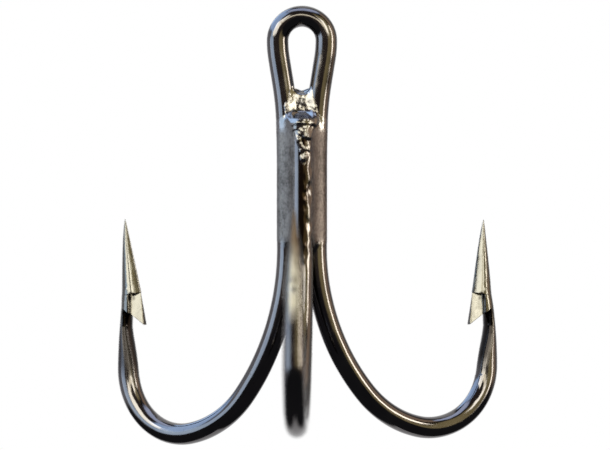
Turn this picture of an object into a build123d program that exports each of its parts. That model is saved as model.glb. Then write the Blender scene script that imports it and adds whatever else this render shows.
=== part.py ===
"""Treble hook: a double hook wire, a single hook wire brazed to its shank, and the braze metal.

Frame: +Z runs up the shank towards the eye, and the origin is the centre of the eye's top arc.
The eye lies in the XZ plane. The single hook points along -Y, and the other two stand 120
degrees either side of it. Millimetres.
"""

import os
from math import cos, radians, sin, sqrt

from build123d import *

# Wire
wire_d = 1.72  # drawn wire, before the point is ground
wire_r = wire_d / 2
shank_x = 1.12  # each half of the double wire, from the centre plane
film_gap = 0.02  # braze film between touching wires
single_y = -sqrt((wire_d + film_gap) ** 2 - shank_x**2)  # the single wire nests between them
single_top_z = -6.25  # sheared top end of the single wire
shear_chamfer = 0.12

# Eye, as centreline radii and turns
eye_r = 1.93
eye_side_r = 9.0
eye_taper = 9.2  # degrees that each leg of the eye leans from upright
throat_r = 24.0
throat_end_taper = 2.6  # degrees left after the throat's curve
shank_blend_r = 84.0

# Bend, as centreline radii and turns from straight down, in the plane of one hook
bend_top_z = -16.4
bend_turns = ((17.8, 40.5), (8.4, 39.5), (5.07, 100.0))
leg_r = 41.0  # the leg leans slightly in towards the shank
leg_turn = 8.3
leg_end_r = 0.79  # wire radius where the spear begins
hook_azimuth = 30.0  # of the double wire's right hook, from +X

# Spear point and barb. Depths are measured down from the tip, reaches in from its axis.
tip_reach = 15.13  # from the shank's axis
tip_z = -13.8
tip_r = 0.02
spear_in_plane_r = 0.86
spear_side_r = 0.80
spear_power = 0.8  # fullness of the taper, where 1 is a cone
spear_stations = 5
barb_thickness = 0.84
barb_tip_reach, barb_tip_depth = 1.62, 8.34
barb_root_reach, barb_root_depth = 1.20, 5.8
barb_root_width = 1.05  # of the spur, where it runs into the spear
notch_reach, notch_depth = 0.20, 7.38  # top of the notch, between the barb and the leg
notch_round_reach, notch_round_depth = 0.14, 7.65
cut_reach, cut_depth = 0.12, 8.6  # deepest place of the barb cut in the leg
cut_start_reach, cut_start_depth = 0.95, 12.5
cut_clearance = 1.0  # how far the cut runs out past the barb's tip
pocket_half_width, pocket_half_height = 0.30, 0.44
pocket_reach, pocket_depth = 0.45, 6.85
pocket_floor = 0.34  # from the hook's plane

# Braze
run_top_z = -6.9  # where the throat braze ends, and the fillets and the seam begin
fillet_inner_end_z = -15.8  # beside the single wire
fillet_outer_end_z = -17.2  # beside the double wire
fillet_sag = 0.10  # how far each front fillet dips below the line that touches both wires
cusp_cut = 0.16  # each run of braze stops this far short of the line where two wires touch
seam_bottom_z = -16.2
seam_rear_y = 0.50
seam_rear_half = 0.62
seam_sag = 0.06
throat_opening_r = 0.58  # round bottom of the eye's opening
throat_opening_z = -4.0
throat_sections = (  # height, centre y, half width in x, half depth in y
    (-3.7, 0.0, 0.80, 0.50),
    (-4.6, -0.05, 0.95, 0.68),
    (-5.6, -0.35, 1.12, 1.05),
    (-6.4, -0.62, 1.15, 1.38),
    (run_top_z, -0.60, 1.05, 1.30),
)


def upright_plane(axis_x, axis_y, azimuth):
    """Plane of one hook: local x points out from the shank's axis, and local y is up."""
    out = Vector(cos(radians(azimuth)), sin(radians(azimuth)), 0)
    return Plane(origin=(axis_x, axis_y, 0), x_dir=out, z_dir=out.cross(Vector(0, 0, 1)))


def tip_frame(plane):
    """Plane of one hook with its origin at the tip: local x points in to the shank."""
    return Plane(
        origin=plane.from_local_coords((tip_reach, tip_z)),
        x_dir=-plane.x_dir,
        z_dir=-plane.z_dir,
    )


def add_bend_and_leg(plane):
    """Sweep the wire round the bend, taper it up the leg, and return the leg's centreline."""
    with BuildLine(plane) as bend:
        start, heading = plane.from_local_coords((0, bend_top_z)), Vector(0, 0, -1)
        for radius, turn in bend_turns:
            arc = JernArc(start, heading, radius, turn)
            start, heading = arc @ 1, arc % 1
    with BuildLine(plane, mode=Mode.PRIVATE) as leg:
        leg_arc = JernArc(start, heading, leg_r, leg_turn)
    with BuildSketch(Plane.XY.offset(bend_top_z).move(Location(plane.origin))) as section:
        Circle(wire_r)
    sweep(sections=section.sketch, path=bend.line)
    with BuildSketch(Plane(start, plane.z_dir, heading)) as leg_start:
        Circle(wire_r)
    with BuildSketch(Plane(leg_arc @ 0.5, plane.z_dir, leg_arc % 0.5)) as leg_middle:
        Circle((wire_r + leg_end_r) / 2)
    with BuildSketch(Plane(leg_arc @ 1, plane.z_dir, leg_arc % 1)) as leg_end:
        Circle(leg_end_r)
    loft(sections=[leg_start.sketch, leg_middle.sketch, leg_end.sketch])
    return leg.line


def add_spear(plane, leg):
    """Loft the spear from the end of the leg to the tip."""
    tip = plane.from_local_coords((tip_reach, tip_z))
    base = leg @ 1 - plane.x_dir * (spear_in_plane_r - leg_end_r)  # flush on the outer side
    sections = []
    for i in range(spear_stations):
        along = i / (spear_stations - 1)
        fullness = (1 - along) ** spear_power
        centre = base + (tip - base) * along
        with BuildSketch(Plane(centre, plane.z_dir, tip - base)) as station:
            Ellipse(
                max(spear_side_r * fullness, tip_r),
                max(spear_in_plane_r * fullness, tip_r),
            )
        sections.append(station.sketch)
    loft(sections=sections, ruled=False)


def add_barb(plane):
    """Raise the barb from the inner side of the leg, and cut the notch below it."""
    frame = tip_frame(plane)
    with BuildSketch(frame) as spur:
        with BuildLine():
            Polyline(
                (barb_root_reach - barb_root_width, -barb_root_depth),
                (barb_root_reach, -barb_root_depth),
                (barb_tip_reach, -barb_tip_depth),
                (notch_reach, -notch_depth),
                (notch_round_reach, -notch_depth),
                close=True,
            )
        make_face()
    extrude(to_extrude=spur.sketch, amount=barb_thickness / 2, both=True)
    with BuildSketch(frame) as notch:
        with BuildLine():
            Line((barb_tip_reach, -barb_tip_depth), (notch_reach, -notch_depth))
            ThreePointArc(
                (notch_reach, -notch_depth),
                (notch_round_reach, -notch_round_depth),
                (cut_reach, -cut_depth),
            )
            Polyline(
                (cut_reach, -cut_depth),
                (cut_start_reach, -cut_start_depth),
                (barb_tip_reach + cut_clearance, -cut_start_depth),
                (barb_tip_reach + cut_clearance, -barb_tip_depth),
                (barb_tip_reach, -barb_tip_depth),
            )
        make_face()
    extrude(to_extrude=notch.sketch, amount=wire_d, both=True, mode=Mode.SUBTRACT)
    for side in (-1, 1):
        with BuildSketch(frame.offset(side * pocket_floor)) as pocket:
            with Locations((pocket_reach, -pocket_depth)):
                Ellipse(pocket_half_width, pocket_half_height)
        extrude(to_extrude=pocket.sketch, amount=side * wire_r, mode=Mode.SUBTRACT)


def add_hook(plane):
    """Add one whole hook, from the top of its bend to its tip."""
    leg = add_bend_and_leg(plane)
    add_spear(plane, leg)
    add_barb(plane)


os.makedirs("parts", exist_ok=True)

# Double hook wire: half of it, mirrored
taper, end_taper = radians(eye_taper), radians(throat_end_taper)
leg_run = (
    eye_r
    - eye_side_r * (1 - cos(taper))
    - throat_r * (cos(end_taper) - cos(taper))
    - shank_blend_r * (1 - cos(end_taper))
    - shank_x
) / sin(taper)  # straight length of the eye's leg, which brings the wire in to shank_x
with BuildPart() as double_hook_wire:
    with BuildLine(Plane.XZ) as eye_and_shank:
        top = JernArc((0, eye_r), (1, 0), eye_r, -90)
        side = JernArc(top @ 1, top % 1, eye_side_r, -eye_taper)
        eye_leg = Line(side @ 1, side @ 1 + (side % 1) * leg_run)
        throat = JernArc(eye_leg @ 1, eye_leg % 1, throat_r, eye_taper - throat_end_taper)
        blend = JernArc(throat @ 1, throat % 1, shank_blend_r, throat_end_taper)
        Line(blend @ 1, Vector(shank_x, 0, bend_top_z))
    with BuildSketch(Plane(origin=(0, 0, eye_r), z_dir=(1, 0, 0))):
        Circle(wire_r)
    sweep()
    add_hook(upright_plane(shank_x, 0, hook_azimuth))
    mirror(about=Plane.YZ)
double_hook_wire.part.label = "double_hook_wire"
export_step(double_hook_wire.part, "parts/double_hook_wire.step")

# Single hook wire
with BuildPart() as single_hook_wire:
    with BuildSketch(Plane.XY.offset(bend_top_z)):
        with Locations((0, single_y)):
            Circle(wire_r)
    extrude(amount=single_top_z - bend_top_z)
    chamfer(single_hook_wire.faces().sort_by(Axis.Z)[-1].edges(), shear_chamfer)
    add_hook(upright_plane(0, single_y, -90))
single_hook_wire.part.label = "single_hook_wire"
export_step(single_hook_wire.part, "parts/single_hook_wire.step")

# Braze fillet in the front right valley, between the single wire and the double wire
side_axis, single_axis = Vector(shank_x, 0), Vector(0, single_y)
across = (side_axis - single_axis).normalized()
outward = Vector(across.Y, -across.X)
contact = (side_axis + single_axis) / 2
end_slope = side_axis - single_axis + Vector(0, 0, fillet_outer_end_z - fillet_inner_end_z)
with BuildPart() as braze_fillet_right:
    with BuildSketch(Plane.XY.offset(fillet_outer_end_z)):
        with BuildLine():
            web = ThreePointArc(
                single_axis + outward * wire_r,
                contact + outward * (wire_r - fillet_sag),
                side_axis + outward * wire_r,
            )
            Polyline(web @ 1, side_axis, contact + outward * cusp_cut, single_axis, web @ 0)
        make_face()
    extrude(amount=run_top_z - fillet_outer_end_z)
    split(
        bisect_by=Plane(
            origin=single_axis + Vector(0, 0, fillet_inner_end_z),
            x_dir=outward,
            z_dir=outward.cross(end_slope),
        ),
        keep=Keep.TOP,
    )
    add(double_hook_wire.part, mode=Mode.SUBTRACT)
    add(single_hook_wire.part, mode=Mode.SUBTRACT)
braze_fillet_right.part.label = "braze_fillet_right"
export_step(braze_fillet_right.part, "parts/braze_fillet_right.step")

# Braze fillet in the front left valley
with BuildPart() as braze_fillet_left:
    mirror(braze_fillet_right.part, about=Plane.YZ)
braze_fillet_left.part.label = "braze_fillet_left"
export_step(braze_fillet_left.part, "parts/braze_fillet_left.step")

# Braze seam behind, one with the metal in the channel between the three wires
channel_root = contact - outward * cusp_cut
with BuildPart() as braze_seam_rear:
    with BuildSketch(Plane.XY.offset(seam_bottom_z)):
        with BuildLine():
            rear = ThreePointArc(
                (-seam_rear_half, seam_rear_y),
                (0, seam_rear_y - seam_sag),
                (seam_rear_half, seam_rear_y),
            )
            Polyline(
                rear @ 1,
                (seam_rear_half, 0),
                (channel_root.X, channel_root.Y),
                (-channel_root.X, channel_root.Y),
                (-seam_rear_half, 0),
                rear @ 0,
            )
        make_face()
    extrude(amount=run_top_z - seam_bottom_z)
    add(double_hook_wire.part, mode=Mode.SUBTRACT)
    add(single_hook_wire.part, mode=Mode.SUBTRACT)
braze_seam_rear.part.label = "braze_seam_rear"
export_step(braze_seam_rear.part, "parts/braze_seam_rear.step")

# Braze puddle in the eye's throat, which also covers the top end of the single wire
with BuildPart() as braze_throat:
    for height, centre_y, half_x, half_y in throat_sections:
        with BuildSketch(Plane.XY.offset(height)):
            with Locations((0, centre_y)):
                Ellipse(half_x, half_y)
    loft()
    with BuildSketch(Plane.XZ):
        with Locations((0, throat_opening_z + throat_opening_r)):
            Circle(throat_opening_r)
    extrude(amount=wire_d, both=True, mode=Mode.SUBTRACT)
    add(double_hook_wire.part, mode=Mode.SUBTRACT)
    add(single_hook_wire.part, mode=Mode.SUBTRACT)
braze_throat.part.label = "braze_throat"
export_step(braze_throat.part, "parts/braze_throat.step")
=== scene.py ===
"""Treble hook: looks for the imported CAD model, in Blender.

The two wires are rebuilt as fine swept skins on the centrelines and radii of the CAD, each hook a
little out of true, with ground spears, chiselled barbs and drawn-wire texture. The braze runs get
hollow faces, waviness and lumps. The shapes are worked out in millimetres, and turned into metres
when a mesh is made. The materials, the camera and the floor are in metres.
"""

import math

import bpy
import numpy as np
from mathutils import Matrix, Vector, noise


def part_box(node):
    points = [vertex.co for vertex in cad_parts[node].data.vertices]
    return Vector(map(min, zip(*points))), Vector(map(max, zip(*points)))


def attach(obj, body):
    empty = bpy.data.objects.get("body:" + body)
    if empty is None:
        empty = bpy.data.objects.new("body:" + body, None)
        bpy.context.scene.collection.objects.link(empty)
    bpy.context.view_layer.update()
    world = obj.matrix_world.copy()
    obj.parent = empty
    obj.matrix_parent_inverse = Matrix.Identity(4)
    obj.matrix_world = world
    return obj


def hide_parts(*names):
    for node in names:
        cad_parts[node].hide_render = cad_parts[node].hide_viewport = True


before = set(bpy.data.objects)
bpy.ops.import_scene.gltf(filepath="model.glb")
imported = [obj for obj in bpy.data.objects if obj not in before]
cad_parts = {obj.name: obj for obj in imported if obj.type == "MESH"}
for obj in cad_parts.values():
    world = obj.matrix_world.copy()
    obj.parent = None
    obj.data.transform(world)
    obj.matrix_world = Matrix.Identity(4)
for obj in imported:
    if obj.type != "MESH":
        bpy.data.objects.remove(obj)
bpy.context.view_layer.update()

MM = 0.001


def box_mm(node):
    """Lowest and highest corner of a CAD node, in millimetres."""
    low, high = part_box(node)
    return np.array(low) / MM, np.array(high) / MM


# ---------------------------------------------------------------- sizes, from the frame
SINGLE_LOW, SINGLE_HIGH = box_mm("single_hook_wire")
DOUBLE_LOW, DOUBLE_HIGH = box_mm("double_hook_wire")
FILLET_LOW, FILLET_HIGH = box_mm("braze_fillet_right")
SEAM_LOW, SEAM_HIGH = box_mm("braze_seam_rear")

WIRE_R = (SINGLE_HIGH[0] - SINGLE_LOW[0]) / 2
SINGLE_Y = SINGLE_HIGH[1] - WIRE_R
SINGLE_TOP = SINGLE_HIGH[2]
EYE_R = DOUBLE_HIGH[2] - WIRE_R

# ---------------------------------------------------------------- sizes of the wire, mm
SHANK_X = 1.12
SINGLE_X = 0.08  # the single wire sits a little off the middle
BEND_TOP = -16.4
EYE_SIDE_R, EYE_TAPER = 9.0, 9.2
THROAT_R, THROAT_TAPER = 24.0, 2.6
BLEND_R = 84.0
BEND = ((17.8, 40.5), (8.4, 39.5), (5.07, 100.0))
LEG_R, LEG_TURN, LEG_END_R = 41.0, 8.3, 0.79
TIP_REACH, TIP_Z = 15.13, -13.8
HOOKS = {"right": 30.0, "left": 150.0, "single": -90.0}  # azimuth of each hook, from +X
# Each hook came out of the bending tool a little different: share of the way from the top of the
# bend to the tip, then how far the wire sits out from and above its nominal place there
AS_FORMED = {
    "right": (
        (0.00, 0.00, 0.00), (0.20, 0.05, 0.10), (0.35, 0.08, 0.25), (0.49, 0.00, 0.28),
        (0.60, 0.12, 0.15), (0.70, 0.24, 0.05), (0.85, 0.22, -0.03), (1.00, -0.02, -0.08),
    ),
    "left": (
        (0.00, 0.00, 0.00), (0.20, -0.05, -0.08), (0.35, -0.10, -0.20), (0.49, -0.05, -0.22),
        (0.65, -0.04, -0.10), (0.79, 0.00, -0.03), (1.00, 0.33, 0.00),
    ),
    "single": (
        (0.00, 0.00, 0.00), (0.30, 0.00, 0.10), (0.49, 0.00, 0.17), (0.70, 0.00, 0.08),
        (0.84, 0.02, 0.03), (1.00, -0.40, 0.00),
    ),
}

EYE_THINNING = 0.02  # the wire draws down a little where it is bent tightest
DULL = {"left": 1.0, "right": 0.3}  # how dark and dull the plating is on the legs of these hooks
SHEAR_ROUND = 0.12  # worn edge of the single wire's sheared top end
BEAD_HEIGHT, BEAD_SIZE = 0.065, 0.42  # of the plating beads on the front of the single wire

RING = 96  # points round the wire
STEP = 0.15  # between rings along the wire
SHARP_ANGLE = 35  # degrees between two faces; past this their edge is not smoothed

# ---------------------------------------------------------------- sizes of the braze, mm
# Each run: the radius of its hollow face, how many degrees its skin runs on round the single wire,
# and the heights where the face reaches its full width, starts to draw in, and is drawn in
LEFT_FILLET = {
    "name": "braze_fillet_left_satin", "side": -1, "seed": 51,
    "face_r": 4.0, "film_single": 12, "full_from": -7.3, "ends_from": -15.2, "ends_at": -17.0,
}
RIGHT_FILLET = {
    "name": "braze_fillet_right_satin", "side": 1, "seed": 57,
    "face_r": 2.0, "film_single": 0, "full_from": -7.0, "ends_from": -15.3, "ends_at": -17.4,
}
SEAM = {"face_r": 1.6, "full_from": -7.2, "ends_from": -14.6, "ends_at": -16.4, "back_depth": 0.6}
FILM, FILM_POINTS = 0.014, 14  # skin of braze that runs on round the wires beside a run
FILM_DOUBLE_TURN = 85  # degrees that it runs on round the double wire
FILM_DIVE = 0.04  # the edge of the skin ends this far inside the wire
WEB_POINTS, WEB_STEP = 21, 0.12
BACK_SPREAD = 0.45  # width of a run's hidden back, as a share of the wires' distance
THROAT_TOP, THROAT_END = -4.1, -9.9
# how far the puddle wets the wires: height, then how far to the left and to the right
THROAT_WETS = (
    (-3.6, 0.85, 0.85), (-4.6, 1.15, 1.00), (-5.2, 1.45, 1.20), (-6.0, 1.25, 1.45),
    (-6.6, 0.95, 1.40), (-7.2, 0.70, 0.95), (-7.8, 0.40, 0.80), (-9.2, 0.15, 0.74),
    (-9.8, 0.05, 0.40),
)
# the fill between the legs of the eye and over the single wire's end: height, front and back
THROAT_FILL = (
    (-3.6, -0.28, 0.25), (-4.3, -0.56, 0.45), (-5.0, -0.66, 0.50), (-5.65, -0.82, 0.50),
    (-5.95, -1.20, 0.50), (-6.25, -1.75, 0.50), (-6.6, -2.00, 0.50), (-7.2, -1.60, 0.40),
    (-9.9, -1.60, 0.40),
)
THROAT_FILL_HALF = 1.35  # half width of the fill
THROAT_BLEND = 0.75  # how widely the braze fills the gap between two wires
THROAT_FILL_BLEND = 0.55  # and the gap between the wires and the fill
THROAT_RING = 160
THROAT_LIP = 0.30  # radius of the puddle's top edge, in the eye
THROAT_FORWARD = 0.70  # the puddle's rings move this far forward, down its length
THROAT_LUMPS = ((0.75, 41, 0.060), (0.36, 43, 0.036), (0.17, 47, 0.008))  # size, seed and height
THROAT_BEADS = (0.42, 45, 0.11)  # beads over the single wire's end: size, seed and height
OPENING_R = 0.70  # round bottom of the eye's opening
SINGLE_END_CORE, SINGLE_END_ROUND = 0.45, 0.40  # the braze rounds over the single wire's end

# ---------------------------------------------------------------- sizes of the point, mm
# q is the reach in from the tip towards the shank, h the depth below the tip, and v the distance
# to the side of the hook's plane
SPEAR_BASE = (0.485, 6.06)
SPEAR_IN_PLANE_R, SPEAR_SIDE_R, SPEAR_POWER = 0.86, 0.80, 0.8
FLAT_TURN, FLAT_REACH = 55.0, 0.74  # the two ground flats meet in an inner edge of 110 degrees
FLAT_CURVE, FLAT_MIDDLE = 3.1, -0.06  # the flats are a little round, about this middle
LEDGE_DEPTH, LEDGE_TILT = 6.10, -12.0
BARB_EDGE = ((1.24, 5.60), (1.64, 8.52))  # the barb's inner edge, down to its tip
BARB_EDGE_HALF, BARB_WEDGE, BARB_FLARE = 0.04, 0.27, 0.08  # half thickness, and its growth
BARB_TOP_H, LEG_TOP_H = 5.70, 5.60  # the barb and the leg end inside the spear
PRESS_Q = 0.55  # the wire is pressed flat from here in, where it becomes the barb
PRESS_BLEND, BARB_BLEND, POCKET_BLEND = 0.12, 0.08, 0.06  # roundness of the corners between them
ROOF = ((0.20, 7.38), (1.64, 8.52))  # underside of the barb
ROOF_SLOPE = (ROOF[1][1] - ROOF[0][1]) / (ROOF[1][0] - ROOF[0][0])
SCOOP_H = (7.00, 7.80, 8.60, 9.30, 10.2, 11.2, 12.6)  # the hollow cut in the leg below the barb
SCOOP_Q = (0.28, 0.20, 0.17, 0.27, 0.46, 0.68, 1.02)
SCOOP_ROUND, SCOOP_CROWN = 0.30, 0.45
POCKET_CENTRE, POCKET_RADII = (0.78, 6.32, 0.62), (0.24, 0.36, 0.34)
POINT_START_H = 12.7
POLE_SHIFT = 0.5  # the rings near the notch are drawn round a pole this far out from the axis
RAY_LENGTH, RAY_STEPS = 2.4, 96  # how far out from its pole a ring's surface is looked for


def smooth_step(low, high, x):
    t = np.clip((x - low) / (high - low), 0.0, 1.0)
    return t * t * (3 - 2 * t)


def smooth_min(a, b, k):
    w = np.clip(0.5 + 0.5 * (b - a) / k, 0.0, 1.0)
    return b + (a - b) * w - k * w * (1 - w)


def smooth_max(a, b, k):
    return -smooth_min(-a, -b, k)


def past_line(q, h, line):
    """How far a place is past a line in the hook's plane: below the roof, or in from the edge."""
    (q0, h0), (q1, h1) = line
    length = math.hypot(q1 - q0, h1 - h0)
    return ((q1 - q0) * (h - h0) - (h1 - h0) * (q - q0)) / length


# ---------------------------------------------------------------- centrelines
def trace(start, heading, runs, step):
    """Points and headings (radians) along lines and arcs in a plane. A run is (radius, degrees)
    for an arc, positive turning left, or (None, length) for a line."""
    points, headings = [np.array(start, float)], [math.radians(heading)]
    for radius, amount in runs:
        here, facing = points[-1], headings[-1]
        length = amount if radius is None else radius * math.radians(abs(amount))
        count = max(2, math.ceil(length / step))
        for i in range(1, count + 1):
            if radius is None:
                forward = np.array((math.cos(facing), math.sin(facing)))
                points.append(here + amount * i / count * forward)
                headings.append(facing)
            else:
                turn = math.radians(amount) * i / count
                side = math.copysign(radius, amount)
                turned = facing + turn
                centre = here + side * np.array((-math.sin(facing), math.cos(facing)))
                points.append(centre + side * np.array((math.sin(turned), -math.cos(turned))))
                headings.append(turned)
    return np.array(points), np.array(headings)


def eye_half():
    """Centreline from the top of the eye down to the top of the right-hand bend, in the XZ plane."""
    taper, end = math.radians(EYE_TAPER), math.radians(THROAT_TAPER)
    drawn_in = (
        EYE_SIDE_R * (1 - math.cos(taper))
        + THROAT_R * (math.cos(end) - math.cos(taper))
        + BLEND_R * (1 - math.cos(end))
    )
    leg = (EYE_R - SHANK_X - drawn_in) / math.sin(taper)
    runs = [
        (EYE_R, -90),
        (EYE_SIDE_R, -EYE_TAPER),
        (None, leg),
        (THROAT_R, EYE_TAPER - THROAT_TAPER),
        (BLEND_R, THROAT_TAPER),
    ]
    points, headings = trace((0, EYE_R), 0, runs, STEP)
    rest, rest_headings = trace(points[-1], -90, [(None, points[-1][1] - BEND_TOP)], STEP)
    return np.vstack((points, rest[1:])), np.concatenate((headings, rest_headings[1:]))


EYE_HALF = eye_half()


def leg_x(z):
    """How far each leg of the double wire is from the centre plane at height z, below the eye."""
    points, _ = EYE_HALF
    below = points[points[:, 1] < -1]
    return np.interp(-z, -below[:, 1], below[:, 0])


def bend_line():
    """Centreline of a bend in its hook's plane, as (reach from the shank, z), as far as the point's
    first ring, its headings, and the place where the whole bend ends."""
    points, headings = trace((0, BEND_TOP), -90, BEND, STEP)
    keep = ~((points[:, 1] > TIP_Z - POINT_START_H) & (points[:, 0] > TIP_REACH / 2))
    return points[keep], headings[keep], points[-1]


BEND_END = bend_line()[2]


# ---------------------------------------------------------------- the point, as a distance field
def leg_axis(h):
    """Reach q of the leg's centreline at depth h."""
    z = TIP_Z - h - BEND_END[1]
    radius = np.where(z >= 0, LEG_R, BEND[-1][0])
    return TIP_REACH - (BEND_END[0] - radius + np.sqrt(radius**2 - z**2))


def pocket_field(q, h, v):
    """Below zero inside the two small hollows under the spear's ledge."""
    centre_q, centre_h, centre_v = POCKET_CENTRE
    across, down, deep = POCKET_RADII
    in_plane = ((q - centre_q) / across) ** 2 + ((h - centre_h) / down) ** 2
    reach = in_plane + ((np.abs(v) - centre_v) / deep) ** 2
    return (np.sqrt(reach) - 1) * min(POCKET_RADII)


def point_field(q, h, v):
    """Below zero inside the leg, spear and barb."""
    up = TIP_Z - h - BEND_END[1]
    out = TIP_REACH - q - BEND_END[0]
    radius = np.where(up >= 0, LEG_R, BEND[-1][0])
    off_axis = np.hypot(out + radius, up) - radius
    leg_length = LEG_R * math.radians(LEG_TURN)
    leg_r = WIRE_R + (LEG_END_R - WIRE_R) * np.clip(up / leg_length, 0, 1)
    leg = np.hypot(off_axis, v) - leg_r

    below_roof = past_line(q, h, ROOF)
    scooped = np.minimum(q - np.interp(h, SCOOP_H, SCOOP_Q) + SCOOP_CROWN * v**2, below_roof)
    round_over = 0.03 + SCOOP_ROUND * smooth_step(0.0, 1.2, below_roof)
    leg = smooth_max(leg, scooped, round_over)
    leg = smooth_max(leg, np.minimum(q - PRESS_Q, -below_roof), PRESS_BLEND)

    tilt = math.radians(LEDGE_TILT)
    ledge = (h - LEDGE_DEPTH) * math.cos(tilt) - (q - SPEAR_BASE[0]) * math.sin(tilt)
    fullness = np.clip(h / SPEAR_BASE[1], 1e-4, 1.2) ** SPEAR_POWER
    inward = q - SPEAR_BASE[0] * h / SPEAR_BASE[1]
    side = SPEAR_SIDE_R * fullness
    round_part = (np.hypot(inward / (SPEAR_IN_PLANE_R * fullness), v / side) - 1) * side
    turn = math.radians(FLAT_TURN)
    off = inward * math.sin(turn) + np.abs(v) * math.cos(turn)
    off = off + (FLAT_CURVE - FLAT_REACH) * fullness
    across = np.abs(v) * math.sin(turn) - inward * math.cos(turn) - FLAT_MIDDLE * fullness
    flats = np.hypot(off, across) - FLAT_CURVE * fullness
    spear = smooth_max(round_part, flats, 0.04 * fullness + 1e-4)
    spear = smooth_max(spear, ledge, 0.03)

    in_from_edge = past_line(q, h, BARB_EDGE)
    thick = BARB_EDGE_HALF + BARB_FLARE * (h - LEDGE_DEPTH)
    plate = np.abs(v) - (thick + BARB_WEDGE * np.maximum(in_from_edge, 0))
    barb = smooth_max(smooth_max(-in_from_edge, plate, 0.05), below_roof, 0.03)
    barb = np.maximum(barb, np.maximum(BARB_TOP_H - h, leg_axis(h) - q))

    solid = smooth_min(leg + np.maximum(LEG_TOP_H - h, 0), barb, BARB_BLEND)
    solid = smooth_max(solid, -pocket_field(q, h, v), POCKET_BLEND)
    return smooth_min(solid, spear, 0.02)


def pole(h):
    """Reach of the place that each ring of the point is drawn round, at depth h."""
    spear_share = smooth_step(LEDGE_DEPTH + 0.4, LEDGE_DEPTH - 0.4, h)
    axis = leg_axis(h) * (1 - spear_share) + SPEAR_BASE[0] * h / SPEAR_BASE[1] * spear_share
    return axis - POLE_SHIFT * smooth_step(5.9, 6.9, h) * (1 - smooth_step(9.5, 12.3, h))


def roof_pole_depth():
    """Depth at which the ring drawn round the pole lies in the barb's underside."""
    h = ROOF[0][1]
    for _ in range(30):
        h = ROOF[0][1] + (float(pole(h)) - ROOF[0][0]) * ROOF_SLOPE
    return h


def both_sides(middle, offsets):
    """Places below and above a middle depth, from the deepest up."""
    return middle + np.concatenate((offsets, [-offset for offset in reversed(offsets)]))


def point_stations():
    """Depths of the rings' poles, close together at the notch, the ledge and the tip."""
    roof = both_sides(roof_pole_depth(), (0.12, 0.08, 0.05, 0.03, 0.015, 0.005))
    ledge = both_sides(LEDGE_DEPTH, (0.06, 0.035, 0.018, 0.006))
    return np.concatenate((
        np.arange(POINT_START_H - 0.1, 9.3, -0.12),
        np.arange(9.26, roof[0] + 0.03, -0.06),
        roof,
        np.arange(roof[-1] - 0.03, ledge[0] + 0.02, -0.03),
        ledge,
        np.arange(ledge[-1] - 0.05, 0.7, -0.1),
        np.arange(0.66, 0.02, -0.04),
        (0.012,),
    ))


def point_rings():
    """Rings of (q, h, v) up the leg, barb and spear, by walking out from a pole to the surface."""
    h = point_stations()
    pole_q = pole(h)
    roof_h = roof_pole_depth()
    roof_share = smooth_step(6.2, roof_h - 0.05, h) * (1 - smooth_step(roof_h + 0.05, 9.7, h))
    ledge_share = smooth_step(5.0, 6.0, h) * (1 - smooth_step(6.2, 7.0, h))
    # a ring near the barb's underside or the ledge lies parallel to it
    tilt = np.radians(math.degrees(math.atan(ROOF_SLOPE)) * roof_share + LEDGE_TILT * ledge_share)
    k = np.arange(RING) / RING * 2 * math.pi
    crowd = 0.85 * smooth_step(12.6, 10.5, h) * (1 - 0.6 * smooth_step(5.5, 3.0, h))
    angle = k[None, :] + crowd[:, None] * np.sin(k)[None, :]
    # at angle 0 a ray points out from the shank, and at half a turn it points in, along the barb
    step_q = -np.cos(angle) * np.cos(tilt)[:, None]
    step_h = -np.cos(angle) * np.sin(tilt)[:, None]
    step_v = np.sin(angle)

    def place(reach):
        return pole_q[:, None] + step_q * reach, h[:, None] + step_h * reach, step_v * reach

    def field(reach):
        return point_field(*place(reach))

    samples = np.linspace(0.0, RAY_LENGTH, RAY_STEPS + 1)[1:]
    inside_to = np.zeros(angle.shape)
    done = np.zeros(angle.shape, bool)
    for reach in samples:
        done |= field(np.full(angle.shape, reach)) > 0
        inside_to = np.where(done, inside_to, reach)
    low, high = inside_to, inside_to + samples[1] - samples[0]
    for _ in range(22):
        middle = (low + high) / 2
        is_in = field(middle) <= 0
        low, high = np.where(is_in, middle, low), np.where(is_in, high, middle)
    return np.stack(place(low), axis=-1)


POINT_RINGS = point_rings()


def circle_rings(centres, tangents, sides, radii):
    """Rings round a 3-D line. Ring angle 0 points along tangent x side."""
    outs = np.cross(tangents, sides)
    k = np.arange(RING) / RING * 2 * math.pi
    radii = np.broadcast_to(radii, len(centres))
    ring = np.cos(k)[:, None] * outs[:, None, :] + np.sin(k)[:, None] * sides[:, None, :]
    return centres[:, None, :] + ring * radii[:, None, None]


def distance_along(middles):
    """How far along a line of places each one is, from 0."""
    return np.concatenate(([0], np.cumsum(np.linalg.norm(np.diff(middles, axis=0), axis=1))))


def smooth_curve(x, table):
    """Values at x on a smooth curve through the rows of a table of (x, value, value)."""
    table = np.array(table)
    knots, values = table[:, 0], table[:, 1:]
    slopes = np.zeros(values.shape)
    slopes[1:-1] = (values[2:] - values[:-2]) / (knots[2:] - knots[:-2])[:, None]
    i = np.clip(np.searchsorted(knots, x, side="right") - 1, 0, len(knots) - 2)
    gap = (knots[i + 1] - knots[i])[:, None]
    t = (x - knots[i])[:, None] / gap
    from_knots = values[i] * (1 + 2 * t) * (1 - t) ** 2 + values[i + 1] * t**2 * (3 - 2 * t)
    return from_knots + gap * (slopes[i] * t * (1 - t) ** 2 - slopes[i + 1] * t**2 * (1 - t))


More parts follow.
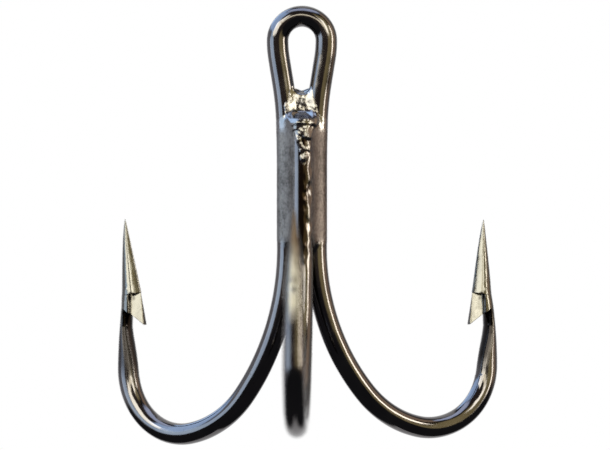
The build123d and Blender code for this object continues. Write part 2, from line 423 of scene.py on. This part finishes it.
def hook_rings(axis_x, axis_y, hook):
    """Rings from the top of a bend to its point, and the tip that they close to."""
    azimuth = math.radians(HOOKS[hook])
    out = np.array((math.cos(azimuth), math.sin(azimuth), 0))
    side = np.array((math.sin(azimuth), -math.cos(azimuth), 0))
    up = np.array((0, 0, 1))
    origin = np.array((axis_x, axis_y, 0))
    points, headings, _ = bend_line()
    centres = origin + points[:, :1] * out + points[:, 1:] * up
    tangents = np.cos(headings)[:, None] * out + np.sin(headings)[:, None] * up
    bend = circle_rings(centres, tangents, np.tile(side, (len(centres), 1)), WIRE_R)
    q, h, v = POINT_RINGS[..., :1], POINT_RINGS[..., 1:2], POINT_RINGS[..., 2:]
    point = origin + (TIP_REACH - q) * out + (TIP_Z - h) * up + v * side
    tip = origin + TIP_REACH * out + TIP_Z * up
    rings = np.concatenate((bend, point))
    middles = np.vstack((rings.mean(axis=1), tip))
    along = distance_along(middles)
    shift = smooth_curve(along / along[-1], AS_FORMED[hook])
    shift = shift[:, :1] * out + shift[:, 1:] * up
    return rings + shift[:-1, None, :], tip + shift[-1]


# ---------------------------------------------------------------- meshes and their wear
def skin(name, rings, start_cap, end_cap, floats, drawn):
    """A closed mesh through rings of points. A cap is the point its end closes to. floats holds
    named values per point, and drawn holds the place along and round the piece for its texture."""
    count, around = rings.shape[:2]
    vertices = np.concatenate((rings.reshape(-1, 3), [start_cap, end_cap]))
    first, last = len(vertices) - 2, len(vertices) - 1
    faces = []
    for i in range(count - 1):
        a, b = i * around, (i + 1) * around
        for j in range(around):
            n = (j + 1) % around
            faces.append((a + j, b + j, b + n, a + n))
    top = (count - 1) * around
    faces += [(first, j, (j + 1) % around) for j in range(around)]
    faces += [(last, top + (j + 1) % around, top + j) for j in range(around)]
    mesh = bpy.data.meshes.new(name)
    mesh.from_pydata((vertices * MM).tolist(), [], faces)
    for key, values in floats.items():
        layer = mesh.attributes.new(key, "FLOAT", "POINT")
        flat = np.concatenate((values.reshape(-1), (values.flat[0], values.flat[-1])))
        layer.data.foreach_set("value", flat.astype(np.float32))
    layer = mesh.attributes.new("drawn", "FLOAT_VECTOR", "POINT")
    flat = np.concatenate((drawn.reshape(-1, 3), [drawn[0].mean(0), drawn[-1].mean(0)]))
    layer.data.foreach_set("vector", flat.astype(np.float32).ravel())
    mesh.update()
    mesh.polygons.foreach_set("use_smooth", [True] * len(mesh.polygons))
    mesh.set_sharp_from_angle(angle=math.radians(SHARP_ANGLE))
    piece = bpy.data.objects.new(name, mesh)
    bpy.context.scene.collection.objects.link(piece)
    return piece


def ring_texture_place(rings):
    """Where each ring point is round the wire (x, y) and along it (z, millimetres)."""
    around = rings.shape[1]
    k = np.arange(around) / around * 2 * math.pi
    place = np.zeros(rings.shape)
    place[..., 0] = np.cos(k)[None, :]
    place[..., 1] = np.sin(k)[None, :]
    place[..., 2] = distance_along(rings.mean(axis=1))[:, None]
    return place


def wobble(points, size, seed):
    """Smooth noise at points, from about -1 to 1, with bumps about size millimetres apart."""
    flat = points.reshape(-1, 3) / size + np.array((seed, 0.37 * seed, -seed))
    values = [noise.noise(Vector(p)) for p in flat.tolist()]
    return np.array(values).reshape(points.shape[:-1])


def push_out(rings, amount):
    """Ring points moved away from the middle of their ring by amount, in millimetres."""
    rays = rings - rings.mean(axis=1, keepdims=True)
    return rings + rays / np.linalg.norm(rays, axis=-1, keepdims=True) * amount[..., None]


def point_marks(count_before):
    """For the rings of one hook: 1 on the ground spear and barb, and 1 where shade is painted in: the
    small hollows under the ledge and the cut below the barb, which are coloured near black."""
    ground = np.repeat((1 - smooth_step(7.6, 9.4, point_stations()))[:, None], RING, axis=1)
    q, h, v = np.moveaxis(POINT_RINGS, -1, 0)
    scoop_shade = smooth_step(-0.50, -0.25, q - np.interp(h, SCOOP_H, SCOOP_Q))
    scoop_shade = scoop_shade * smooth_step(0.0, 0.08, past_line(q, h, ROOF)) * (1 - smooth_step(10.8, 12.6, h))
    # painted shade: the hollows under the ledge and the cut below the barb are marked to be coloured
    # near black
    hollow = np.maximum(1 - smooth_step(0.01, 0.10, pocket_field(q, h, v)), scoop_shade)
    before = np.zeros((count_before, RING))
    return {"ground": np.concatenate((before, ground)), "hollow": np.concatenate((before, hollow))}


# ---------------------------------------------------------------- the two wires
def wire_wear(rings, ground, seed, beads):
    """Rings with the dents and ripples left by forming and plating, and with beads of it."""
    calm = 1 - ground
    dents = wobble(rings, 1.3, seed) * 0.004 * calm + wobble(rings, 0.45, seed + 5) * 0.0012
    return push_out(rings, dents + beads)


def double_half(hook):
    """Rings from the top of the eye to one tip of the double wire, their marks, and the tip."""
    mirror = -1 if hook == "left" else 1
    points, headings = EYE_HALF
    none = np.zeros(len(points))
    centres = np.stack((mirror * points[:, 0], none, points[:, 1]), axis=1)
    tangents = np.stack((mirror * np.cos(headings), none, np.sin(headings)), axis=1)
    azimuth = math.radians(HOOKS[hook])
    out_side = np.array((math.sin(azimuth), -math.cos(azimuth), 0))
    # the rings' starting side turns with the wire, so that they meet the hook's rings unturned
    across = np.cross(tangents, (0, 1, 0))
    down_across = np.cross((0, 0, -1), (0, 1, 0))
    sides = out_side[1] * np.array((0, 1, 0)) + (out_side @ down_across) * across
    formed = WIRE_R - EYE_THINNING * smooth_step(0.0, EYE_R, centres[:, 2])
    eye = circle_rings(centres, tangents, sides, formed)
    hook_part, tip = hook_rings(mirror * SHANK_X, 0, hook)
    rings = np.concatenate((eye, hook_part[1:]))
    marks = point_marks(len(rings) - len(point_stations()))
    # the plating is dull on the leg below the barb
    reach, z = np.abs(rings[..., 0]), rings[..., 2]
    on_leg = smooth_step(8.0, 10.0, reach) * smooth_step(-22.0, -22.8, z)
    marks["dull"] = on_leg * (1 - smooth_step(-25.2, -27.0, z)) * DULL[hook]
    marks["stained"] = np.zeros(marks["dull"].shape)
    return rings, marks, tip


def make_double_wire():
    right, right_marks, right_tip = double_half("right")
    left, left_marks, left_tip = double_half("left")
    # run the left half backwards, and its rings the other way round, to carry on into the right
    turned = np.roll(left[::-1, ::-1], 1, axis=1)
    start = int(np.argmin(np.linalg.norm(turned[-1] - right[0, 0], axis=1)))
    turned = np.roll(turned, -start, axis=1)
    rings = np.concatenate((turned[:-1], right))
    marks = {}
    for key in right_marks:
        values = np.roll(np.roll(left_marks[key][::-1, ::-1], 1, axis=1), -start, axis=1)
        marks[key] = np.concatenate((values[:-1], right_marks[key]))
    rings = wire_wear(rings, marks["ground"], 11, 0)
    drawn = ring_texture_place(rings)
    return skin("double_hook_wire_plated", rings, left_tip, right_tip, marks, drawn)


def make_single_wire():
    depths = np.concatenate((
        (0, SHEAR_ROUND * 0.3, SHEAR_ROUND),
        np.arange(0.3, SINGLE_TOP - BEND_TOP - 0.05, 0.12),
    ))
    count = len(depths)
    round_share = 1 - np.clip(depths / SHEAR_ROUND, 0, 1)
    inset = SHEAR_ROUND * (1 - np.sqrt(np.clip(1 - round_share**2, 0, 1)))
    places = (np.full(count, SINGLE_X), np.full(count, SINGLE_Y), SINGLE_TOP - depths)
    down = np.tile((0.0, 0.0, -1.0), (count, 1))
    side = np.tile((-1.0, 0.0, 0.0), (count, 1))
    shank = circle_rings(np.stack(places, axis=1), down, side, WIRE_R - inset)
    hook, tip = hook_rings(SINGLE_X, SINGLE_Y, "single")
    rings = np.concatenate((shank, hook))
    marks = point_marks(len(rings) - len(point_stations()))
    # down the front between the puddle and the bend: beads on the right, a stain in the middle
    x, y, z = np.moveaxis(rings, -1, 0)
    front = smooth_step(-19.5, -16.0, z) * (1 - smooth_step(-7.4, -6.6, z))
    front = front * smooth_step(-0.5, -1.3, y)
    beads = wobble(rings * np.array((1, 1, 0.6)), BEAD_SIZE, 3) * BEAD_HEIGHT
    beads = beads * front * smooth_step(0.0, 0.4, x)
    marks["dull"] = np.zeros(z.shape)
    marks["stained"] = front * (1 - smooth_step(0.42, 0.58, x)) * smooth_step(-0.3, -0.1, x)
    rings = wire_wear(rings, marks["ground"], 23, beads)
    top = np.array((SINGLE_X, SINGLE_Y, SINGLE_TOP))
    drawn = ring_texture_place(rings)
    return skin("single_hook_wire_plated", rings, top, tip, marks, drawn)


# ---------------------------------------------------------------- the braze
def film_arc(wire, start, turn):
    """Points round a wire from the bearing of start (a direction), turning on by turn degrees and
    ending inside the wire."""
    bearing = math.atan2(start[1], start[0]) + np.radians(np.linspace(0, turn, FILM_POINTS))
    lift = np.full(FILM_POINTS, FILM)
    lift[-2:] = (0.4 * FILM, -FILM_DIVE)
    around = np.column_stack((np.cos(bearing), np.sin(bearing)))
    return np.array(wire) + around * (WIRE_R + lift)[:, None]


def crotch_web(name, wires_a, wires_b, heights, hollow, back_depth, seed, film_a=0, film_b=0):
    """A concave run of braze between two wires, each given as its place at every height. hollow is
    the radius of its face. film_a and film_b say how many degrees a skin of braze runs on round
    each wire."""
    rings = []
    outs = []
    for z, a, b, face_r in zip(heights, wires_a, wires_b, hollow):
        middle, half = (a + b) / 2, np.linalg.norm(b - a) / 2
        along = (b - a) / (2 * half)
        out = np.array((along[1], -along[0]))
        rise = math.sqrt((WIRE_R + FILM + face_r) ** 2 - half**2)
        reach = math.atan2(half, rise)
        spread = np.linspace(-reach, reach, WEB_POINTS)
        centre = middle + out * rise
        face = middle + out * (rise - face_r * np.cos(spread))[:, None]
        face = face + along * (face_r * np.sin(spread))[:, None]
        back_half = along * half * BACK_SPREAD
        back = middle - out * back_depth + np.array([back_half, -back_half])
        share = float(smooth_step(0.15, 0.8, face_r / max(hollow)))
        skin_a = film_arc(a, centre - a, -film_a * share - 3)[::-1]
        skin_b = film_arc(b, centre - b, film_b * share + 3)
        ring = np.concatenate((skin_a[:-1], face, skin_b[1:], back))
        rings.append(np.column_stack((ring, np.full(len(ring), z))))
        outs.append(out)
    rings, outs = np.array(rings), np.array(outs)
    ripple = wobble(rings * np.array((1, 1, 0.45)), 0.8, seed) * 0.016
    ripple = ripple + wobble(rings, 0.28, seed + 3) * 0.004
    # only the face ripples: not the films beside it, and not the two points of the back
    flat = np.zeros(FILM_POINTS - 1)
    free = np.sin(np.linspace(0, math.pi, WEB_POINTS)) ** 0.5
    shape = np.concatenate((flat, free, flat, (0, 0)))
    rings[..., :2] += outs[:, None, :] * (ripple * shape[None, :])[..., None]
    caps = rings[0].mean(0), rings[-1].mean(0)
    return skin(name, rings, caps[0], caps[1], {}, rings.copy())


def web_hollow(heights, full_from, ends_from, ends_at, widest, narrowest):
    """Face radius down a run: shallow along it, drawn into the crotch at each end."""
    top = smooth_step(-heights[0], -full_from, -heights)
    bottom = 1 - smooth_step(-ends_from, -ends_at, -heights)
    return widest * top * bottom**1.5 + narrowest


def make_fillet(name, side, seed, face_r, film_single, full_from, ends_from, ends_at):
    """The run between the single wire and the double wire's leg on one side: -1 left, 1 right."""
    heights = np.arange(FILLET_HIGH[2] + 1.4, FILLET_LOW[2] - 0.4, -WEB_STEP)
    single = np.tile((SINGLE_X, SINGLE_Y), (len(heights), 1))
    double = np.column_stack((side * leg_x(heights), np.zeros(len(heights))))
    wires = (single, double) if side > 0 else (double, single)
    films = (film_single, FILM_DOUBLE_TURN) if side > 0 else (FILM_DOUBLE_TURN, film_single)
    gap = np.linalg.norm(single - double, axis=1).max() / 2 - WIRE_R
    narrowest = max(0.0, gap) + 0.03
    hollow = web_hollow(heights, full_from, ends_from, ends_at, face_r, narrowest)
    return crotch_web(name, *wires, heights, hollow, 0.0, seed, *films)


def make_seam(face_r, full_from, ends_from, ends_at, back_depth):
    """The run behind, between the double wire's two legs."""
    heights = np.arange(SEAM_HIGH[2] + 0.6, SEAM_LOW[2] - 0.2, -WEB_STEP)
    right = np.column_stack((leg_x(heights), np.zeros(len(heights))))
    narrowest = right[0, 0] - WIRE_R + 0.01
    hollow = web_hollow(heights, full_from, ends_from, ends_at, face_r, narrowest)
    return crotch_web("braze_seam_rear_satin", right, -right, heights, hollow, back_depth, 61)


def throat_field(x, y, z):
    """Below zero inside the wires and the braze that fills the gaps between them."""
    leg = leg_x(z)
    left = np.hypot(x + leg, y) - WIRE_R
    right = np.hypot(x - leg, y) - WIRE_R
    legs = smooth_min(left, right, THROAT_BLEND)
    over = np.maximum(z - (SINGLE_TOP - SINGLE_END_ROUND), 0)
    flank = np.maximum(np.hypot(x - SINGLE_X, y - SINGLE_Y) - (WIRE_R - SINGLE_END_CORE), 0)
    single = np.hypot(flank, over) - SINGLE_END_CORE
    wires = smooth_min(legs, single, THROAT_BLEND)
    fill = np.array(THROAT_FILL)[::-1]
    front = np.interp(z, fill[:, 0], fill[:, 1])
    back = np.interp(z, fill[:, 0], fill[:, 2])
    deep = (back - front) / 2
    filled = (np.hypot(x / THROAT_FILL_HALF, (y - (front + back) / 2) / deep) - 1) * deep
    return smooth_min(wires, filled, THROAT_FILL_BLEND)


def make_throat():
    """The puddle of braze that closes the bottom of the eye and covers the single wire's end."""
    levels = np.concatenate((
        THROAT_LIP * (1 - np.cos(np.linspace(0.03, math.pi / 2, 12))),
        np.arange(THROAT_LIP + 0.05, THROAT_TOP - THROAT_END, 0.05),
    ))
    widest = OPENING_R * 0.97  # the bowl stops rising just inside its rim
    k = np.arange(THROAT_RING) / THROAT_RING * 2 * math.pi
    x_dir, y_dir = np.sin(k), -np.cos(k)
    wets = np.array(THROAT_WETS)[::-1]
    rings, shown = [], []
    for level in levels:
        z_here = THROAT_TOP - level
        centre_y = -THROAT_FORWARD * smooth_step(0.3, 2.6, level)
        to_lip = max(0.0, THROAT_LIP - level)
        inset = THROAT_LIP - math.sqrt(max(0.0, THROAT_LIP**2 - to_lip**2))
        bowl_share = 1 - smooth_step(0.2, 1.8, level)

        def height(x):
            across = np.minimum(np.abs(x), widest)
            return z_here + (OPENING_R - np.sqrt(OPENING_R**2 - across**2)) * bowl_share

        def field(r):
            x, y = x_dir * r, centre_y + y_dir * r
            z = height(x)
            wet_left = np.interp(z, wets[:, 0], wets[:, 1])
            wet_right = np.interp(z, wets[:, 0], wets[:, 2])
            wet = np.where(x < 0, wet_left, wet_right)
            return smooth_max(throat_field(x, y, z), np.abs(x) - wet, 0.12)

        low, high = np.zeros(THROAT_RING), np.full(THROAT_RING, 2.6)
        for _ in range(24):
            middle = (low + high) / 2
            inside = field(middle) <= 0
            low, high = np.where(inside, middle, low), np.where(inside, high, middle)
        r = np.maximum(low - inset, low * 0.04)
        x, y = x_dir * r, centre_y + y_dir * r
        rings.append(np.column_stack((x, y, height(x))))
        shown.append(np.minimum(r / low, 1.0) * smooth_step(THROAT_END, THROAT_END + 0.5, z_here))
    rings, shown = np.array(rings), np.array(shown)
    z = rings[..., 2]
    lumps = sum(wobble(rings, size, seed) * high for size, seed, high in THROAT_LUMPS)
    lumps = lumps * (1 - 0.7 * smooth_step(-4.6, -4.0, z))
    size, seed, high = THROAT_BEADS
    beads = np.maximum(wobble(rings, size, seed) + 0.25, 0) * high * smooth_step(-6.6, -7.4, z)
    # towards its lower edge the puddle sinks into the wires
    sunk = 0.06 * (1 - smooth_step(0, 1, shown)) * shown
    rings = push_out(rings, (lumps + beads + 0.012) * shown - sunk)
    caps = rings[0].mean(0), rings[-1].mean(0)
    return skin("braze_throat_bright", rings, caps[0], caps[1], {}, rings.copy())


# ---------------------------------------------------------------- materials
# heights in metres between which the satin braze turns shiny: at the puddle, and where it thins
PUDDLE_SHINE, THINNED_SHINE = (-0.0073, -0.0068), (-0.0162, -0.0154)


class Shader:
    """A material or world node tree, with short ways to add and join nodes."""

    def __init__(self, tree):
        self.tree = tree
        tree.nodes.clear()

    def node(self, kind, inputs=(), **settings):
        made = self.tree.nodes.new(kind)
        for key, value in settings.items():
            setattr(made, key, value)
        for key, value in dict(inputs).items():
            if isinstance(value, bpy.types.NodeSocket):
                self.tree.links.new(value, made.inputs[key])
            else:
                made.inputs[key].default_value = value
        return made

    def math(self, operation, a, b=0.0, c=0.0):
        return self.node("ShaderNodeMath", {0: a, 1: b, 2: c}, operation=operation).outputs[0]

    def ramp(self, value, low, high, to_low=0.0, to_high=1.0, smooth=False):
        kind = "SMOOTHSTEP" if smooth else "LINEAR"
        inputs = {"Value": value, "From Min": low, "From Max": high}
        inputs.update({"To Min": to_low, "To Max": to_high})
        return self.node("ShaderNodeMapRange", inputs, interpolation_type=kind).outputs["Result"]

    def mark(self, name):
        """A value that the mesh holds for each point."""
        return self.node("ShaderNodeAttribute", attribute_name=name).outputs["Fac"]

    def noise(self, vector, scale, detail=3.0, roughness=0.5, stretch=(1, 1, 1)):
        moved = self.node("ShaderNodeMapping", {"Vector": vector, "Scale": stretch}).outputs[0]
        inputs = {"Vector": moved, "Scale": scale, "Detail": detail, "Roughness": roughness}
        return self.node("ShaderNodeTexNoise", inputs).outputs["Fac"]

    def mix(self, factor, a, b):
        # of a colour mix's sockets, 6 and 7 are its two colours, and output 2 is its result
        return self.node("ShaderNodeMix", {0: factor, 6: a, 7: b}, data_type="RGBA").outputs[2]

    def bump(self, height, strength, distance, normal=None):
        inputs = {"Height": height, "Strength": strength, "Distance": distance}
        if normal is not None:
            inputs["Normal"] = normal
        return self.node("ShaderNodeBump", inputs).outputs[0]


def new_metal(name):
    material = bpy.data.materials.new(name)
    material.use_nodes = True
    return material, Shader(material.node_tree)


def finish_metal(shader, color, roughness, normal):
    inputs = {"Base Color": color, "Metallic": 1.0, "Roughness": roughness, "Normal": normal}
    surface = shader.node("ShaderNodeBsdfPrincipled", inputs)
    shader.node("ShaderNodeOutputMaterial", {"Surface": surface.outputs[0]})


def plated_wire():
    """Dark nickel over drawn wire: mirror-like, with faint lines along it and dull worn patches,
    ground points, painted shade in the hollows, and a stain down the front of the single wire."""
    material, s = new_metal("plated_wire")
    drawn = s.node("ShaderNodeAttribute", attribute_name="drawn").outputs["Vector"]
    ground, hollow, stained, dull = (s.mark(name) for name in ("ground", "hollow", "stained", "dull"))
    place = s.node("ShaderNodeTexCoord").outputs["Object"]
    lines = s.noise(drawn, 9.0, 4.0, 0.65, (1, 1, 0.03))
    patches = s.noise(place, 420.0, 5.0, 0.6)
    specks = s.noise(place, 3200.0, 3.0, 0.6)
    grind = s.noise(place, 2600.0, 3.0, 0.6, (1, 1, 0.35))
    tone = s.math("ADD", s.math("MULTIPLY", patches, 0.6), s.math("MULTIPLY", lines, 0.4))
    color = s.mix(s.ramp(tone, 0.35, 0.65), (0.105, 0.10, 0.105, 1), (0.150, 0.142, 0.140, 1))
    color = s.mix(s.math("MULTIPLY", ground, 0.7), color, (0.132, 0.131, 0.119, 1))
    color = s.mix(s.ramp(specks, 0.66, 0.74), color, (0.07, 0.06, 0.055, 1))
    # painted shade: near black in the hollows under the ledge and in the cut below the barb
    color = s.mix(hollow, color, (0.012, 0.010, 0.009, 1))
    color = s.mix(s.math("MULTIPLY", stained, 0.9), color, (0.035, 0.023, 0.015, 1))
    color = s.mix(s.math("MULTIPLY", dull, 0.8), color, (0.035, 0.033, 0.035, 1))
    smooth_roughness = s.ramp(patches, 0.35, 0.7, 0.05, 0.16)
    smooth_roughness = s.math("ADD", smooth_roughness, s.math("MULTIPLY", dull, 0.18))
    ground_roughness = s.ramp(grind, 0.35, 0.7, 0.10, 0.22)
    extra = s.math("MULTIPLY", ground, s.math("SUBTRACT", ground_roughness, smooth_roughness))
    roughness = s.math("ADD", smooth_roughness, extra)
    normal = s.bump(lines, 0.25, 0.000010)
    normal = s.bump(patches, 0.30, 0.000030, normal)
    normal = s.bump(s.math("MULTIPLY", grind, ground), 0.40, 0.000040, normal)
    finish_metal(s, color, roughness, normal)
    return material


def bright_braze():
    """Braze that froze with a bright, uneven skin."""
    material, s = new_metal("bright_braze")
    place = s.node("ShaderNodeTexCoord").outputs["Object"]
    patches = s.noise(place, 900.0, 5.0, 0.6)
    pits = s.noise(place, 2400.0, 4.0, 0.6)
    color = s.mix(s.ramp(patches, 0.35, 0.65), (0.22, 0.21, 0.20, 1), (0.15, 0.145, 0.15, 1))
    roughness = s.ramp(patches, 0.3, 0.7, 0.06, 0.22)
    normal = s.bump(pits, 0.5, 0.000040)
    normal = s.bump(patches, 0.5, 0.000080, normal)
    finish_metal(s, color, roughness, normal)
    return material


def satin_braze():
    """The long runs of braze: dull, finely grained, greyer on one side and browner on the other."""
    material, s = new_metal("satin_braze")
    place = s.node("ShaderNodeTexCoord").outputs["Object"]
    x, _, z = s.node("ShaderNodeSeparateXYZ", {0: place}).outputs
    patches = s.noise(place, 700.0, 5.0, 0.65, (1, 1, 0.6))
    grain = s.noise(place, 5000.0, 3.0, 0.7)
    blotch = s.math("ADD", s.math("MULTIPLY", patches, 0.5), s.math("MULTIPLY", grain, 0.5))
    grey = s.mix(s.ramp(blotch, 0.42, 0.58), (0.085, 0.078, 0.070, 1), (0.215, 0.20, 0.185, 1))
    brown = s.mix(s.ramp(blotch, 0.42, 0.58), (0.090, 0.080, 0.080, 1), (0.21, 0.185, 0.185, 1))
    color = s.mix(s.ramp(x, -0.0003, 0.0003), grey, brown)
    ragged = s.math("ADD", z, s.math("MULTIPLY", s.math("SUBTRACT", patches, 0.5), 0.0012))
    near_puddle = s.ramp(ragged, *PUDDLE_SHINE)
    color = s.mix(near_puddle, color, (0.20, 0.20, 0.205, 1))
    thinned = s.ramp(ragged, *THINNED_SHINE, 1.0, 0.0)
    color = s.mix(thinned, color, (0.125, 0.12, 0.12, 1))
    shiny = s.math("MAXIMUM", near_puddle, thinned)
    dull = s.ramp(patches, 0.3, 0.7, 0.40, 0.55)
    roughness = s.math("SUBTRACT", dull, s.math("MULTIPLY", shiny, s.math("SUBTRACT", dull, 0.14)))
    normal = s.bump(grain, 0.5, 0.000020)
    normal = s.bump(patches, 0.4, 0.000060, normal)
    finish_metal(s, color, roughness, normal)
    return material


def floor_paper():
    material = bpy.data.materials.new("floor_paper")
    material.use_nodes = True
    s = Shader(material.node_tree)
    place = s.node("ShaderNodeTexCoord").outputs["Object"]
    mottle = s.noise(place, 60.0, 4.0, 0.6)
    color = s.mix(mottle, (0.80, 0.80, 0.79, 1), (0.86, 0.86, 0.85, 1))
    surface = s.node("ShaderNodeBsdfPrincipled", {"Base Color": color, "Roughness": 0.9})
    s.node("ShaderNodeOutputMaterial", {"Surface": surface.outputs[0]})
    return material


# ---------------------------------------------------------------- studio
# Panels that the metal mirrors: lowest and highest azimuth (from -Y, growing towards +X), lowest
# and highest elevation, and the softness of the edges, all in degrees, then the light's colour
PANELS = (
    (-180, 180, -90, -6, 8, (0.04, 0.04, 0.045)),
    (-46, 20, -8, 60, 8, (0.12, 0.09, 0.08)),
    (-57, -18, 10, 34, 4, (6.6, 6.4, 5.4)),
    (-20, 20, 12, 20, 4, (5.2, 4.8, 3.6)),
    (20, 38, 11, 34, 4, (7.0, 6.8, 5.9)),
    (-84, -42, -8, 8, 5, (1.9, 2.4, 3.0)),
    (-74, -57, 8, 22, 5, (1.9, 2.5, 3.2)),
    (-150, -46, 21, 60, 7, (1.7, 2.4, 3.6)),
    (-150, -74, -12, 20, 6, (0.62, 0.62, 0.66)),
    (20, 64, -6, 48, 8, (0.95, 0.78, 0.38)),
    (67, 76, -5, 30, 3, (12.0, 11.0, 9.0)),
    (79, 112, -6, 60, 6, (1.0, 0.72, 0.50)),
    (-110, 112, 62, 100, 8, (1.9, 2.2, 3.0)),
    (112, 150, -12, 90, 10, (0.40, 0.38, 0.36)),
)
# behind the hook, from this azimuth round on both sides; the softness of its edge, its colour
BACKDROP = (150, 16, (1.0, 1.0, 1.0))


def studio_world():
    """White to the camera; to the metal, a dark room with soft coloured panels in it."""
    world = bpy.data.worlds.new("studio")
    world.use_nodes = True
    bpy.context.scene.world = world
    s = Shader(world.node_tree)
    direction = s.node("ShaderNodeTexCoord").outputs["Generated"]
    x, y, z = s.node("ShaderNodeSeparateXYZ", {0: direction}).outputs
    azimuth = s.math("DEGREES", s.math("ARCTAN2", x, s.math("MULTIPLY", y, -1.0)))
    elevation = s.math("DEGREES", s.math("ARCSINE", z))
    uneven = s.math("MULTIPLY", s.math("SUBTRACT", s.noise(direction, 9.0, 3.0), 0.5), 12.0)
    azimuth = s.math("ADD", azimuth, uneven)
    elevation = s.math("SUBTRACT", elevation, uneven)

    def band(value, low, high, soft):
        rising = s.ramp(value, low - soft / 2, low + soft / 2, smooth=True)
        falling = s.ramp(value, high - soft / 2, high + soft / 2, 1.0, 0.0, smooth=True)
        return s.math("MULTIPLY", rising, falling)

    def add_light(total, share, color):
        scaled = s.node("ShaderNodeVectorMath", {0: color, "Scale": share}, operation="SCALE")
        both = {0: total, 1: scaled.outputs[0]}
        return s.node("ShaderNodeVectorMath", both, operation="ADD").outputs[0]

    total = (0, 0, 0)
    for az_low, az_high, el_low, el_high, soft, color in PANELS:
        across = band(azimuth, az_low, az_high, soft)
        upright = band(elevation, el_low, el_high, soft)
        total = add_light(total, s.math("MULTIPLY", across, upright), color)
    edge, soft, color = BACKDROP
    share = s.ramp(s.math("ABSOLUTE", azimuth), edge - soft / 2, edge + soft / 2, smooth=True)
    total = add_light(total, share, color)

    seen_by_camera = s.node("ShaderNodeLightPath").outputs["Is Camera Ray"]
    white = s.node("ShaderNodeBackground", {"Color": (1, 1, 1, 1), "Strength": 1.0}).outputs[0]
    room = s.node("ShaderNodeBackground", {"Color": total, "Strength": 1.0}).outputs[0]
    both = s.node("ShaderNodeMixShader", {0: seen_by_camera, 1: room, 2: white}).outputs[0]
    s.node("ShaderNodeOutputWorld", {"Surface": both})


CAMERA_DISTANCE, CAMERA_AZIMUTH, CAMERA_ELEVATION = 0.640, 2.4, -2.0
CAMERA_LENS = 477.7
TARGET = Vector((0.00024, 0.0, -0.0146))
FOCUS = Vector((0.0, 0.0035, -0.0146))
F_STOP = 34.7
FLOOR_Z, FLOOR_HALF = -0.045, 3.0


def make_camera():
    data = bpy.data.cameras.new("camera")
    data.lens = CAMERA_LENS
    data.sensor_width = 36.0
    data.clip_start, data.clip_end = 0.01, 10.0
    camera = bpy.data.objects.new("camera", data)
    bpy.context.scene.collection.objects.link(camera)
    a, e = math.radians(CAMERA_AZIMUTH), math.radians(CAMERA_ELEVATION)
    back = Vector((math.sin(a) * math.cos(e), -math.cos(a) * math.cos(e), math.sin(e)))
    camera.location = TARGET + back * CAMERA_DISTANCE
    camera.rotation_euler = (-back).to_track_quat("-Z", "Y").to_euler()
    focus = bpy.data.objects.new("focus", None)
    focus.location = FOCUS
    bpy.context.scene.collection.objects.link(focus)
    data.dof.use_dof = True
    data.dof.focus_object = focus
    data.dof.aperture_fstop = F_STOP
    bpy.context.scene.camera = camera


def make_floor():
    mesh = bpy.data.meshes.new("floor")
    turns = ((-1, -1), (1, -1), (1, 1), (-1, 1))
    corners = [(x * FLOOR_HALF, y * FLOOR_HALF, FLOOR_Z) for x, y in turns]
    mesh.from_pydata(corners, [], [(0, 1, 2, 3)])
    floor = bpy.data.objects.new("floor", mesh)
    bpy.context.scene.collection.objects.link(floor)
    mesh.materials.append(floor_paper())
    floor.visible_glossy = False


def make_soft_light():
    data = bpy.data.lights.new("overhead", "AREA")
    data.shape = "DISK"
    data.size = 0.8
    data.energy = 6.0
    light = bpy.data.objects.new("overhead", data)
    light.location = (0.0, -0.2, 0.9)
    light.rotation_euler = (-light.location).to_track_quat("-Z", "Y").to_euler()
    light.visible_glossy = False
    light.visible_camera = False
    bpy.context.scene.collection.objects.link(light)


# ---------------------------------------------------------------- assembly
def assemble():
    """Makes each piece, which takes the place of its CAD node and rides with the one body."""
    plated, bright, satin = plated_wire(), bright_braze(), satin_braze()
    pieces = (
        (make_double_wire(), "double_hook_wire", "plated_wire", plated),
        (make_single_wire(), "single_hook_wire", "plated_wire", plated),
        (make_throat(), "braze_throat", "bright_braze", bright),
        (make_fillet(**LEFT_FILLET), "braze_fillet_left", "satin_braze", satin),
        (make_fillet(**RIGHT_FILLET), "braze_fillet_right", "satin_braze", satin),
        (make_seam(**SEAM), "braze_seam_rear", "satin_braze", satin),
    )
    for piece, node, slot, material in pieces:
        piece.data.materials.append(material)
        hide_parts(node)
        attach(piece, "root")


assemble()
studio_world()
make_camera()
make_floor()
make_soft_light()
bpy.context.scene.view_settings.view_transform = "Standard"
